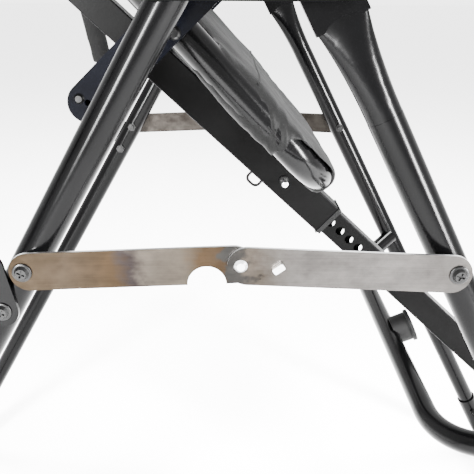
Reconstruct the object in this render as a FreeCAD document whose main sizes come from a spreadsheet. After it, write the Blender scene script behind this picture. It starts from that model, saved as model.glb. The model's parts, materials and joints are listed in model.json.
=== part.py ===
"""Inversion table: a folding A-frame, a tilting bed on a boom, and a sliding shaft with ankle clamps.

World frame: +Z up, +X towards the user's feet, +Y to the user's left, origin on the floor.
The tilting parts are placed in two frames that turn about the tilt pivot:
the boom frame (along the boom, across, away from the boom) and the bed frame, a few degrees steeper.
"""
import FreeCAD, Part
import math
import os
import Sketcher
from FreeCAD import Placement, Rotation, Vector

SIZES = {
    # pivot and A-frame
    "pivot_x": 1.4, "pivot_z": 1037.0, "leg_y": 325.0, "leg_diameter": 32.0, "leg_wall": 1.6,
    "rear_lean": 30.5, "front_lean": 28.25, "rear_leg_offset": -40.4, "front_leg_offset": 30.6,
    "rear_leg_top": 34.0, "hinge_x": 50.4, "hinge_z": -37.0, "hinge_bolt": 10.0,
    "flat_width": 48.0, "flat_thickness": 7.0, "flat_length": 34.0, "crimp_length": 92.0,
    # floor bases
    "base_diameter": 38.1, "base_wall": 2.0, "base_height": 23.0, "base_bend": 70.0, "stub_length": 130.0,
    "foot_width": 46.0, "foot_length": 60.0, "foot_y": 215.0,
    # bracket plates at the top of the A-frame
    "plate": 3.0, "plate_gap": 0.3, "bearing_diameter": 40.0, "bearing_width": 14.0, "pin_diameter": 16.0,
    # spreader straps
    "strap_width": 36.0, "strap_plate": 3.0, "strap_bolt": 8.0, "strap_drop": 283.4, "strap_rise": 8.0,
    "strap_y": 345.4, "strap_gap": 0.6, "notch_radius": 17.5,
    # grab handles
    "handle_diameter": 25.4, "handle_y": 357.5, "grip_diameter": 35.0, "handle_drop": 324.5,
    "handle_lean": 0.2, "handle_rise": 345.0, "handle_bend": 78.0, "handle_top_x": -32.0,
    "handle_top_z": 42.0,
    "handle_tongue": 30.0, "handle_plate": 3.4, "handle_neck": 84.0, "grip_length": 150.0,
    # rest bar on the front frame
    "bar_diameter": 28.6, "bar_wall": 1.5, "bar_x": 227.0, "bar_z": -545.0, "bar_half": 260.0,
    "bar_bend": 117.0, "bumper_diameter": 44.0, "bumper_flange": 50.0, "bumper_reach": 38.5,
    "bumper_tilt": 23.0,
    # boom and sliding shaft
    "boom_slope": 42.7, "boom_drop": 178.5, "boom_height": 46.0, "boom_width": 40.0, "boom_wall": 2.0,
    "boom_top": -42.0, "boom_end": 323.0, "collar": 7.0, "shaft_height": 38.0, "shaft_width": 32.0,
    "shaft_wall": 2.0, "shaft_top": -230.0, "shaft_end": 900.0, "hole_diameter": 12.6,
    "hole_pitch": 19.05, "hole_count": 21.0, "pin_s": 236.3, "lock_pin": 8.6,
    # bed
    "bed_pitch": 4.0, "bed_drop": 110.3, "rail_diameter": 35.0, "rail_wall": 1.2, "rail_y": 195.0,
    "bed_foot": 238.0, "bed_head": -900.0, "bow_bend": 62.0, "cover_thickness": 46.0, "cover_side": 23.0,
    "arm_width": 38.0, "arm_plate": 6.0, "arm_y": 262.0, "arm_top": 19.0, "arm_bottom": -232.0,
    "arm_hole": 6.0,
    "cross_tube": 25.0,
    # ankle holder
    "heel_s": 832.0, "heel_n": -95.0, "clamp_s": 866.0, "clamp_n": 60.0, "ankle_bar": 16.0,
    "ankle_roller": 80.0, "roller_length": 105.0, "roller_y": 96.0, "clamp_tube": 25.0, "clamp_socket": 32.0,
    "foot_plate_width": 290.0, "foot_plate_height": 150.0, "foot_plate": 4.0,
}

doc = FreeCAD.newDocument("InversionTable")
sheet = doc.addObject("Spreadsheet::Sheet", "Sizes")
for row, (alias, value) in enumerate(SIZES.items(), start=1):
    sheet.set("A%d" % row, alias)
    sheet.set("B%d" % row, str(value))
    sheet.setAlias("B%d" % row, alias)
doc.recompute()

SUBPARTS = []
SIDES = {"right": -1, "left": 1}


def size(alias):
    return float(sheet.get(alias))


def bind(obj, **expressions):
    """Bind properties to spreadsheet expressions; a bare word is a cell of the sheet."""
    for prop, expression in expressions.items():
        text = expression
        for alias in sorted(SIZES, key=len, reverse=True):
            text = replace_word(text, alias)
        obj.setExpression(prop, text)
    return obj


def replace_word(text, alias):
    out = []
    for word in text.split(" "):
        out.append("Sizes." + word if word == alias else word)
    return " ".join(out)


def keep(obj, label):
    obj.Label = label
    SUBPARTS.append(obj)
    return obj


def add(kind, name, **expressions):
    return bind(doc.addObject(kind, name), **expressions)


# ---------------------------------------------------------------- frames
PIVOT = Vector(size("pivot_x"), 0, size("pivot_z"))


def turned_frame(slope):
    """Return the along and outward directions of a plane that falls towards +X by slope degrees."""
    angle = math.radians(slope)
    along = Vector(math.cos(angle), 0, -math.sin(angle))
    outward = Vector(math.sin(angle), 0, math.cos(angle))
    return along, outward


BOOM_ALONG, BOOM_OUT = turned_frame(size("boom_slope"))
BED_ALONG, BED_OUT = turned_frame(size("boom_slope") + size("bed_pitch"))


def boom_point(s, y, n):
    return PIVOT + BOOM_ALONG * s + BOOM_OUT * n + Vector(0, y, 0)


def bed_point(b, y, m):
    return PIVOT + BED_ALONG * b + BED_OUT * m + Vector(0, y, 0)


def frame_placement(origin, xdir, ydir):
    zdir = xdir.cross(ydir)
    return Placement(origin, Rotation(xdir, ydir, zdir, "ZXY"))


def boom_placement(s, y, n):
    return frame_placement(boom_point(s, y, n), BOOM_ALONG, Vector(0, 1, 0))


def bed_placement(b, y, m):
    return frame_placement(bed_point(b, y, m), BED_ALONG, Vector(0, 1, 0))


def leg_direction(which):
    """Unit vector down a leg; the rear legs lean to -X and the front legs to +X."""
    if which == "rear":
        angle = math.radians(size("rear_lean"))
        return Vector(-math.sin(angle), 0, -math.cos(angle))
    angle = math.radians(size("front_lean"))
    return Vector(math.sin(angle), 0, -math.cos(angle))


def leg_point(which, drop, y=0.0):
    """The point on a leg's centreline at a height drop below the pivot."""
    direction = leg_direction(which)
    start = PIVOT + Vector(size(which + "_leg_offset"), y, 0)
    return start + direction * (drop / -direction.z)


# ---------------------------------------------------------------- solids
def cylinder(name, radius, length, placement):
    obj = add("Part::Cylinder", name, Radius=radius, Height=length)
    obj.Placement = placement
    return obj


def axis_placement(base, direction):
    return Placement(base, Rotation(Vector(0, 0, 1), direction))


def across(base, side=1):
    """Placement of a cylinder whose axis runs along Y, away from the middle plane on that side."""
    return axis_placement(base, Vector(0, side, 0))


def cut(name, base, *tools):
    result = base
    for index, tool in enumerate(tools):
        step = doc.addObject("Part::Cut", "%s_cut%d" % (name, index))
        step.Base = result
        step.Tool = tool
        result = step
    return result


def fuse(name, *shapes):
    result = doc.addObject("Part::MultiFuse", name)
    result.Shapes = list(shapes)
    return result


def group(name, shapes):
    """Separate identical solids kept in one node."""
    result = doc.addObject("Part::Compound", name)
    result.Links = list(shapes)
    return result


def straight_tube(name, radius, wall, start, end):
    run = end - start
    placement = axis_placement(start, run)
    outer = cylinder(name + "_outer", radius, str(run.Length), placement)
    inner = cylinder(name + "_inner", radius + " - " + wall, str(run.Length), placement)
    return cut(name, outer, inner)


def new_body(name):
    return doc.addObject("PartDesign::Body", name)


def sketch_on(body, name, role):
    sketch = body.newObject("Sketcher::SketchObject", name)
    for feature in body.Origin.OriginFeatures:
        if feature.Role == role:
            sketch.AttachmentSupport = [(feature, "")]
    sketch.MapMode = "FlatFace"
    return sketch


def bind_constraint(sketch, index, expression):
    bind(sketch, **{"Constraints[%d]" % index: expression})


def add_circle(sketch, centre, radius, expression):
    index = sketch.addGeometry(Part.Circle(centre, Vector(0, 0, 1), radius))
    dimension = sketch.addConstraint(Sketcher.Constraint("Radius", index, radius))
    bind_constraint(sketch, dimension, expression)
    return index


def pad(body, sketch, length, midplane=False):
    feature = body.newObject("PartDesign::Pad", sketch.Name + "_pad")
    feature.Profile = sketch
    feature.Midplane = midplane
    bind(feature, Length=length)
    sketch.Visibility = False
    return feature


def closed_outline(sketch, points):
    """A closed chain of straight lines."""
    count = len(points)
    for index in range(count):
        start = Vector(*points[index])
        end = Vector(*points[(index + 1) % count])
        sketch.addGeometry(Part.LineSegment(start, end))
    for index in range(count):
        sketch.addConstraint(Sketcher.Constraint("Coincident", index, 2, (index + 1) % count, 1))


def outline_plate(name, points, corner, thickness, placement, midplane=False):
    """A flat plate with rounded corners, cut from an outline in its own XY plane."""
    body = new_body(name)
    sketch = sketch_on(body, name + "_outline", "XY_Plane")
    closed_outline(sketch, [(x, y, 0) for x, y in points])
    feature = pad(body, sketch, thickness, midplane)
    doc.recompute()
    upright = []
    for index, edge in enumerate(feature.Shape.Edges, start=1):
        ends = [vertex.Point for vertex in edge.Vertexes]
        if len(ends) == 2 and abs(ends[0].z - ends[1].z) > 0.5 * feature.Length.Value:
            upright.append("Edge%d" % index)
    rounding = body.newObject("PartDesign::Fillet", name + "_corners")
    rounding.Base = (feature, upright)
    rounding.Radius = corner
    body.Tip = rounding
    body.Placement = placement
    return body


def slot_plate(name, run, width, thickness, bore, placement, inset=0.0):
    """A straight bar with round ends and two holes, each set out from the end's arc centre by inset."""
    body = new_body(name)
    sketch = sketch_on(body, name + "_outline", "XY_Plane")
    half = size(width) / 2
    quarter = math.pi / 2
    up = Vector(0, 0, 1)
    first, last = inset, run - inset
    near_circle = Part.Circle(Vector(first, 0, 0), up, half)
    far_circle = Part.Circle(Vector(last, 0, 0), up, half)
    near = sketch.addGeometry(Part.ArcOfCircle(near_circle, quarter, 3 * quarter))
    far = sketch.addGeometry(Part.ArcOfCircle(far_circle, -quarter, quarter))
    top = sketch.addGeometry(Part.LineSegment(Vector(first, half, 0), Vector(last, half, 0)))
    low = sketch.addGeometry(Part.LineSegment(Vector(first, -half, 0), Vector(last, -half, 0)))
    rules = [("Tangent", near, 1, top, 1), ("Tangent", top, 2, far, 2), ("Tangent", far, 1, low, 2),
             ("Tangent", low, 1, near, 2), ("PointOnObject", far, 3, -1),
             ("DistanceX", near, 3, far, 3, last - first)]
    if inset:
        rules += [("PointOnObject", near, 3, -1), ("DistanceX", -1, 1, near, 3, inset)]
    else:
        rules.append(("Coincident", near, 3, -1, 1))
    for rule in rules:
        sketch.addConstraint(Sketcher.Constraint(*rule))
    rounding = sketch.addConstraint(Sketcher.Constraint("Radius", near, half))
    bind_constraint(sketch, rounding, width + " / 2")
    near_hole = add_circle(sketch, Vector(0, 0, 0), size(bore) / 2, bore + " / 2 + 0.05")
    far_hole = add_circle(sketch, Vector(run, 0, 0), size(bore) / 2, bore + " / 2 + 0.05")
    sketch.addConstraint(Sketcher.Constraint("Coincident", near_hole, 3, -1, 1))
    sketch.addConstraint(Sketcher.Constraint("PointOnObject", far_hole, 3, -1))
    sketch.addConstraint(Sketcher.Constraint("DistanceX", near_hole, 3, far_hole, 3, run))
    pad(body, sketch, thickness)
    body.Placement = placement
    return body


def pocket_circle(body, name, centre, radius):
    sketch = sketch_on(body, name, "XY_Plane")
    add_circle(sketch, Vector(centre[0], centre[1], 0), size("strap_bolt"), radius)
    doc.recompute()
    before = body.Shape.Volume
    pocket = body.newObject("PartDesign::Pocket", name + "_pocket")
    pocket.Profile = sketch
    pocket.Type = "ThroughAll"
    pocket.Midplane = True
    doc.recompute()
    if body.Shape.Volume >= before:
        raise RuntimeError(name + " cuts nothing")
    sketch.Visibility = False
    return pocket


def bent_tube(name, corners, bend, radius, wall, placement):
    """A round tube along straight runs in its own XY plane, joined by arcs; it starts along +Y."""
    body = new_body(name)
    path = sketch_on(body, name + "_path", "XY_Plane")
    points = [Vector(x, y, 0) for x, y in corners]
    start = points[0]
    for index in range(1, len(points) - 1):
        before = (points[index] - points[index - 1]).normalize()
        after = (points[index + 1] - points[index]).normalize()
        turn = before.getAngle(after)
        trim = bend * math.tan(turn / 2)
        arc_start = points[index] - before * trim
        arc_end = points[index] + after * trim
        inward = (after - before).normalize()
        middle = points[index] + inward * (bend / math.cos(turn / 2) - bend)
        path.addGeometry(Part.LineSegment(start, arc_start))
        path.addGeometry(Part.Arc(arc_start, middle, arc_end))
        start = arc_end
    path.addGeometry(Part.LineSegment(start, points[-1]))
    profile = sketch_on(body, name + "_profile", "XZ_Plane")
    add_circle(profile, Vector(0, 0, 0), 10.0, radius)
    if wall:
        add_circle(profile, Vector(0, 0, 0), 8.0, radius + " - " + wall)
    pipe = body.newObject("PartDesign::AdditivePipe", name + "_pipe")
    pipe.Profile = profile
    doc.recompute()
    pipe.Spine = (path, ["Edge%d" % (index + 1) for index in range(len(path.Geometry))])
    body.Placement = placement
    return body


def box_tube(name, length, width, height, wall, corner, placement):
    """A rectangular tube along its own +X, centred on that axis, with rounded long edges."""
    body = new_body(name)
    sketch = sketch_on(body, name + "_section", "YZ_Plane")
    for half_y, half_z, inset in ((size(width) / 2, size(height) / 2, ""), (None, None, wall)):
        if inset:
            half_y = size(width) / 2 - size(wall)
            half_z = size(height) / 2 - size(wall)
        first = sketch.GeometryCount
        corners = [(-half_y, -half_z), (half_y, -half_z), (half_y, half_z), (-half_y, half_z)]
        for index in range(4):
            start = Vector(*corners[index], 0)
            end = Vector(*corners[(index + 1) % 4], 0)
            sketch.addGeometry(Part.LineSegment(start, end))
        for index in range(4):
            rule = Sketcher.Constraint("Coincident", first + index, 2, first + (index + 1) % 4, 1)
            sketch.addConstraint(rule)
        for index, kind in ((0, "Horizontal"), (1, "Vertical"), (2, "Horizontal"), (3, "Vertical")):
            sketch.addConstraint(Sketcher.Constraint(kind, first + index))
        sketch.addConstraint(Sketcher.Constraint("Symmetric", first, 1, first + 1, 2, -1, 1))
        less = " - 2 * " + wall if inset else ""
        wide = sketch.addConstraint(Sketcher.Constraint("DistanceX", first, 1, first, 2, 2 * half_y))
        bind_constraint(sketch, wide, width + less)
        tall = sketch.addConstraint(Sketcher.Constraint("DistanceY", first + 1, 1, first + 1, 2, 2 * half_z))
        bind_constraint(sketch, tall, height + less)
    feature = pad(body, sketch, length)
    doc.recompute()
    outer = []
    for index, edge in enumerate(feature.Shape.Edges, start=1):
        box = edge.BoundBox
        far_out = abs(edge.CenterOfMass.y) > size(width) / 2 - 0.1
        if box.XLength > 0.9 * feature.Length.Value and far_out:
            outer.append("Edge%d" % index)
    rounding = body.newObject("PartDesign::Fillet", name + "_rounding")
    rounding.Base = (feature, outer)
    rounding.Radius = corner
    body.Tip = rounding
    body.Placement = placement
    return body


def centred_box(name, length, width, height, placement):
    """A box centred on its placement in all three directions."""
    obj = add("Part::Box", name, Length=length, Width=width, Height=height)
    doc.recompute()
    middle = Vector(-obj.Length.Value / 2, -obj.Width.Value / 2, -obj.Height.Value / 2)
    obj.Placement = placement.multiply(Placement(middle, Rotation()))
    return obj


def rounded_edges(name, base, radius, pick):
    """Round the edges that pick accepts, given each edge of the base's shape."""
    doc.recompute()
    rounding = doc.addObject("Part::Fillet", name)
    rounding.Base = base
    chosen = []
    for index, edge in enumerate(base.Shape.Edges, start=1):
        if pick(edge):
            chosen.append((index, radius, radius))
    rounding.Edges = chosen
    return rounding


def domed_head(name, start, side, radius, height):
    dome = doc.addObject("Part::Cone", name)
    dome.Radius1 = radius
    dome.Radius2 = radius * 0.62
    dome.Height = height
    dome.Placement = across(start, side)
    return dome


def bolt(name, start, side, shank, length, head, head_height, nut_y):
    """A bolt along Y: a domed pan head outside at start, a shank inwards, and a hex nut inside."""
    body = cylinder(name + "_shank", shank, str(length), across(start, -side))
    dome = domed_head(name + "_head", start, side, head, head_height)
    nut = doc.addObject("Part::Prism", name + "_nut")
    nut.Polygon = 6
    nut.Circumradius = head
    nut.Height = head_height
    nut.Placement = across(Vector(start.x, nut_y, start.z), -side)
    return fuse(name, body, dome, nut)


# ---------------------------------------------------------------- A-frame legs, bases and feet
LEG_Y = size("leg_y")
LEG_R = size("leg_diameter") / 2
OUTER_Y = LEG_Y + LEG_R + size("plate_gap")
INNER_Y = LEG_Y - LEG_R - size("plate_gap")
BASE_DROP = size("pivot_z") - size("base_height")
HINGE = PIVOT + Vector(size("hinge_x"), 0, size("hinge_z"))
REAR_STRAP = leg_point("rear", size("strap_drop"))
FRONT_STRAP = leg_point("front", size("strap_drop"))
HANDLE_FOOT = leg_point("rear", size("handle_drop"))
BRACKET_BOLTS = [leg_point("rear", 45.0), leg_point("rear", -10.0)]
STUB_BOLT_UP = 100.0


def side_vector(point, y):
    return Vector(point.x, y, point.z)


def leg_drill(name, point, y, expression):
    """A cutter through a leg along Y."""
    base = side_vector(point, y - 30.0)
    return cylinder(name, expression, "60", across(base))


def stub_bolt_point(which):
    direction = leg_direction(which)
    return leg_point(which, BASE_DROP) - direction * STUB_BOLT_UP


def rear_leg(side_name, side):
    name = "rear_leg_" + side_name
    y = side * LEG_Y
    foot = leg_point("rear", BASE_DROP, y) - leg_direction("rear") * (size("base_bend") + 4.0)
    top = leg_point("rear", -size("rear_leg_top"), y)
    tube = straight_tube(name, "leg_diameter / 2", "leg_wall", top, foot)
    drills = []
    for index, point in enumerate((REAR_STRAP, HANDLE_FOOT, stub_bolt_point("rear"), *BRACKET_BOLTS)):
        drills.append(leg_drill("%s_drill%d" % (name, index), point, y, "strap_bolt / 2 + 0.05"))
    keep(cut(name, tube, *drills), name)


def front_leg(side_name, side):
    """A round tube whose top is crushed flat, wider than the tube, to take the hinge bolt."""
    name = "front_leg_" + side_name
    y = side * LEG_Y
    direction = leg_direction("front")
    eye = HINGE + Vector(0, y, 0)
    shoulder = eye + direction * size("flat_length")
    neck = shoulder + direction * size("crimp_length")
    foot = leg_point("front", BASE_DROP, y) - direction * (size("base_bend") + 4.0)
    tube = straight_tube(name, "leg_diameter / 2", "leg_wall", neck, foot)
    wide = direction.cross(Vector(0, 1, 0))
    sections = []
    inside = 1 + 3.0 / size("crimp_length")
    shares = ((0.0, 0.0), (0.3, 0.55), (0.65, 0.88), (inside, 0.97))
    for index, (along, round_share) in enumerate(shares):
        ring = doc.addObject("Part::Ellipse", "%s_ring%d" % (name, index))
        half_wide = size("flat_width") / 2 * (1 - round_share) + LEG_R * round_share
        half_thick = (size("flat_thickness") / 2 - 0.1) * (1 - round_share) + LEG_R * round_share
        ring.MajorRadius = half_wide - 0.4
        ring.MinorRadius = half_thick - 0.2
        centre = shoulder + direction * (size("crimp_length") * along)
        ring.Placement = Placement(centre, Rotation(wide, Vector(0, 1, 0), direction * -1, "ZXY"))
        sections.append(ring)
    crimp = doc.addObject("Part::Loft", name + "_crimp")
    crimp.Sections = sections
    crimp.Solid = True
    thick = size("flat_thickness")
    eye_disc = cylinder(name + "_eye", "flat_width / 2", "flat_thickness",
                        across(eye - Vector(0, thick / 2, 0)))
    flat = add("Part::Box", name + "_flat", Length="flat_width", Width="flat_thickness",
               Height="flat_length + 6")
    corner = eye - wide * (size("flat_width") / 2) + Vector(0, thick / 2, 0)
    flat.Placement = Placement(corner, Rotation(wide, Vector(0, -1, 0), direction, "ZXY"))
    plug = cylinder(name + "_plug", "leg_diameter / 2 - leg_wall + 0.3", "20",
                    axis_placement(neck - direction * 10.0, direction))
    solid = fuse(name + "_solid", tube, crimp, eye_disc, flat, plug)
    drills = [leg_drill(name + "_hinge_hole", HINGE, y, "hinge_bolt / 2 + 0.05")]
    for index, point in enumerate((FRONT_STRAP, stub_bolt_point("front"))):
        drills.append(leg_drill("%s_drill%d" % (name, index), point, y, "strap_bolt / 2 + 0.05"))
    keep(cut(name, solid, *drills), name)


def floor_base(which):
    """A bent tube: a socket up each leg, and a straight run across the floor between them."""
    name = which + "_base"
    direction = leg_direction(which)
    stub = size("stub_length")
    start = leg_point(which, BASE_DROP, LEG_Y) - direction * stub
    corners = [(0, 0), (0, stub), (2 * LEG_Y, stub), (2 * LEG_Y, 0)]
    placement = frame_placement(start, Vector(0, -1, 0), direction)
    tube = bent_tube(name + "_tube", corners, size("base_bend"), "base_diameter / 2", "base_wall", placement)
    drills = []
    for side in SIDES.values():
        hole = leg_drill("%s_drill%d" % (name, side), stub_bolt_point(which), side * LEG_Y,
                         "strap_bolt / 2 + 0.05")
        drills.append(hole)
    keep(cut(name, tube, *drills), name)


def foot_block(name, which, side):
    """A rubber block that grips the floor tube and stands on the floor."""
    centre = leg_point(which, BASE_DROP, side * size("foot_y"))
    end = centre - Vector(0, size("foot_length") / 2, 0)
    block = centred_box(name + "_block", "foot_width", "foot_length", "base_height",
                        Placement(centre - Vector(0, 0, size("base_height") / 2), Rotation()))
    collar = cylinder(name + "_collar", "foot_width / 2", "foot_length", across(end))
    bore_start = across(end - Vector(0, 1, 0))
    bore = cylinder(name + "_bore", "base_diameter / 2 + 0.05", "foot_length + 2", bore_start)
    return cut(name, fuse(name + "_solid", block, collar), bore)


def feet(which):
    name = which + "_feet"
    keep(group(name, [foot_block("%s%d" % (name, side), which, side) for side in SIDES.values()]), name)


# ---------------------------------------------------------------- top brackets and pivot bearings
def pivot_bracket(side_name, side):
    """A folded plate channel that holds the rear leg, the front leg's hinge and the pivot bearing."""
    name = "pivot_bracket_" + side_name
    outline = [(-99, -56), (62, -56), (82, -34), (26, 40), (-26, 64), (-41, 52)]
    total = 2 * (OUTER_Y - LEG_Y + size("plate"))
    placement = Placement(PIVOT + Vector(0, side * LEG_Y, 0), Rotation(Vector(1, 0, 0), 90))
    body = outline_plate(name + "_channel", outline, 11.0, str(total), placement, midplane=True)
    inner = [(-97, -60), (-91, -110), (110, -110), (110, 90), (-16, 90), (-36, 46)]
    inside = str(total - 2 * size("plate"))
    hollow = outline_plate(name + "_hollow", inner, 3.0, inside, placement, midplane=True)
    drills = [leg_drill(name + "_hinge_hole", HINGE, side * LEG_Y, "hinge_bolt / 2 + 0.05")]
    for index, point in enumerate(BRACKET_BOLTS):
        drills.append(leg_drill("%s_drill%d" % (name, index), point, side * LEG_Y, "strap_bolt / 2 + 0.05"))
    through = side_vector(PIVOT, side * INNER_Y - 10.0)
    drills.append(cylinder(name + "_pin_hole", "pin_diameter / 2 + 2", "20", across(through)))
    keep(cut(name, body, hollow, *drills), name)


def pivot_bearing(side_name, side):
    """A flanged bush on the bracket's inner plate, which the bed's pivot pin turns in."""
    name = "pivot_bearing_" + side_name
    face = side * (INNER_Y - size("plate") - 0.1)
    width = size("bearing_width")
    start = side_vector(PIVOT, face)
    ring = cylinder(name + "_ring", "bearing_diameter / 2", "bearing_width", across(start, -side))
    bore_start = across(side_vector(PIVOT, face + side * 30), -side)
    bore = cylinder(name + "_bore", "pin_diameter / 2 + 0.06", "60", bore_start)
    flange = cylinder(name + "_flange", "bearing_diameter / 2 + 5", "4", across(start, -side))
    def inner_rim(edge):
        return len(edge.Vertexes) == 1 and abs(abs(edge.CenterOfMass.y) - abs(face)) > width - 1

    solid = rounded_edges(name + "_edges", fuse(name + "_solid", ring, flange), 0.8, inner_rim)
    return cut(name, solid, bore)


def hinge_hardware(side_name, side):
    bolt_start = side_vector(HINGE, side * (OUTER_Y + size("plate") + 0.1))
    inside = side * (INNER_Y - size("plate") - 0.1)
    name = "hinge_bolt_" + side_name
    piece = bolt(name, bolt_start, side, "hinge_bolt / 2", 47.0, 9.0, 6.0, inside)
    spacers = []
    gap = LEG_R - size("flat_thickness") / 2 - 0.25
    for index, out in enumerate((-1, 1)):
        start = side_vector(HINGE, side * LEG_Y + out * (size("flat_thickness") / 2 + 0.3))
        placement = across(start, out)
        ring = cylinder("%s_spacer%d" % (name, index), "hinge_bolt / 2 + 4", str(gap), placement)
        bore = cylinder("%s_spacer_bore%d" % (name, index), "hinge_bolt / 2 + 0.06", str(gap), placement)
        spacers.append(cut("%s_spacer_cut%d" % (name, index), ring, bore))
    return piece, spacers


def bracket_bolts():
    shapes = []
    spacers = []
    for side_name, side in SIDES.items():
        for index, point in enumerate(BRACKET_BOLTS):
            start = side_vector(point, side * (OUTER_Y + size("plate") + 0.1))
            inside = side * (INNER_Y - size("plate") - 0.1)
            label = "bracket_bolt_%s%d" % (side_name, index)
            shapes.append(bolt(label, start, side, "strap_bolt / 2", 46.0, 7.5, 5.0, inside))
        hinge, rings = hinge_hardware(side_name, side)
        shapes.append(hinge)
        spacers.extend(rings)
    keep(group("bracket_bolts", shapes), "bracket_bolts")
    keep(group("hinge_spacers", spacers), "hinge_spacers")


# ---------------------------------------------------------------- grab handles, mirrored from the right one
def grab_handles():
    """A tube that rises behind the rear leg and comes forward to the bracket, flattened at its foot."""
    name = "grab_handle_right"
    side = SIDES["right"]
    y = side * size("handle_y")
    up = Vector(-size("handle_lean"), 0, 1).normalize()
    forward = Vector(up.z, 0, -up.x)
    foot = side_vector(HANDLE_FOOT, y) + up * size("handle_neck")
    target = PIVOT + Vector(size("handle_top_x"), y, size("handle_top_z"))
    reach = target - foot
    corners = [(0, 0), (0, size("handle_rise")), (reach.dot(forward), reach.dot(up))]
    tube = bent_tube(name + "_tube", corners, size("handle_bend"), "handle_diameter / 2", "",
                     frame_placement(foot, forward, up))
    flat = size("handle_plate") / 2
    flat_y = side * (OUTER_Y + 0.1 + flat)
    run = size("handle_neck") - 40.0
    plate_start = side_vector(HANDLE_FOOT, flat_y - flat)
    tongue = slot_plate(name + "_tongue", run, "handle_tongue", "handle_plate", "strap_bolt",
                        frame_placement(plate_start, up, forward))
    low = side_vector(HANDLE_FOOT, flat_y) + up * run
    rings = []
    for index, share in enumerate((0.0, 0.3, 0.7, 1.0)):
        ring = doc.addObject("Part::Ellipse", "%s_ring%d" % (name, index))
        bulge = share * share * (3 - 2 * share)
        radius = size("handle_diameter") / 2
        ring.MajorRadius = size("handle_tongue") / 2 * (1 - bulge) + radius * bulge - 0.4
        ring.MinorRadius = (flat - 0.1) * (1 - bulge) + (radius - 0.5) * bulge
        centre = (low - up * 5.0) * (1 - share) + (foot + up * 2.0) * share
        centre.y = flat_y * (1 - bulge) + y * bulge
        ring.Placement = Placement(centre, Rotation(forward, Vector(0, 1, 0), up, "ZXY"))
        rings.append(ring)
    crimp = doc.addObject("Part::Loft", name + "_crimp")
    crimp.Sections = rings
    crimp.Solid = True
    plug = cylinder(name + "_plug", "handle_diameter / 2 - 3", "20", axis_placement(foot - up * 10.0, up))
    boss_start = side_vector(target, side * (OUTER_Y + size("plate") + 0.1))
    boss = cylinder(name + "_boss", "handle_diameter / 2 - 2", "24", across(boss_start, side))
    handle = keep(fuse(name, tube, tongue, crimp, plug, boss), name)
    placement = axis_placement(foot + up * 75.0, up)
    outer = cylinder("handle_grip_outer", "grip_diameter / 2", "grip_length", placement)
    bore = cylinder("handle_grip_bore", "handle_diameter / 2 + 0.05", "grip_length", placement)
    soft = rounded_edges("handle_grip_edges", outer, 4.0, lambda edge: len(edge.Vertexes) == 1)
    grip = keep(cut("handle_grip_right", soft, bore), "handle_grip_right")
    for name, source in (("grab_handle_left", handle), ("handle_grip_left", grip)):
        mirrored = doc.addObject("Part::Mirroring", name)
        mirrored.Source = source
        mirrored.Normal = Vector(0, 1, 0)
        keep(mirrored, name)


def leg_bolts():
    """The bolts that hold the straps and the handle's feet to the legs."""
    for which, point in (("rear", REAR_STRAP), ("front", FRONT_STRAP)):
        shapes = []
        for side_name, side in SIDES.items():
            plane = size("strap_y") + size("strap_plate")
            if which == "front":
                plane += size("strap_plate") + size("strap_gap")
            start = side_vector(point, side * (plane + 0.3))
            inside = side * (LEG_Y - LEG_R - 0.1)
            length = plane - (LEG_Y - LEG_R) + 8.0
            shapes.append(bolt("%s_strap_bolt_%s" % (which, side_name), start, side, "strap_bolt / 2", length,
                               7.5, 4.5, inside))
            out = LEG_Y + size("base_diameter") / 2 + 0.1
            inner = side * (LEG_Y - size("base_diameter") / 2 - 0.1)
            start = side_vector(stub_bolt_point(which), side * out)
            shapes.append(bolt("%s_base_bolt_%s" % (which, side_name), start, side, "strap_bolt / 2", 47.0,
                               7.5, 5.0, inner))
            if which == "rear":
                start = side_vector(HANDLE_FOOT, side * (OUTER_Y + 3.7))
                shapes.append(bolt("handle_bolt_" + side_name, start, side, "strap_bolt / 2", 42.0, 7.5, 4.5,
                                   inside))
        keep(group(which + "_leg_bolts", shapes), which + "_leg_bolts")


# ---------------------------------------------------------------- spreader straps
STRAP_INSET = 6.0
STRAP_MIDDLE = (REAR_STRAP + FRONT_STRAP) * 0.5 + Vector(0, 0, size("strap_rise"))


def spreader_strap(which, side_name, side):
    """A flat bar from a leg bolt to the middle rivet; the rear one has the stop notch."""
    name = "%s_strap_%s" % (which, side_name)
    anchor = REAR_STRAP if which == "rear" else FRONT_STRAP
    run = STRAP_MIDDLE - anchor
    along = Vector(run.x, 0, run.z).normalize()
    plate = size("strap_plate")
    low = size("strap_y") if which == "rear" else size("strap_y") + plate + size("strap_gap")
    y = min(side * low, side * (low + plate))
    across_axis = Vector(0, 1, 0).cross(along)
    placement = frame_placement(side_vector(anchor, y), along, across_axis)
    body = slot_plate(name, run.Length, "strap_width", "strap_plate", "strap_bolt", placement, STRAP_INSET)
    if which == "rear":
        notch_along = run.Length - 31.0
        to_low = -1 if across_axis.z > 0 else 1
        pocket_circle(body, name + "_notch", (notch_along, to_low * size("strap_width") / 2), "notch_radius")
    keep(body, name)


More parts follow.
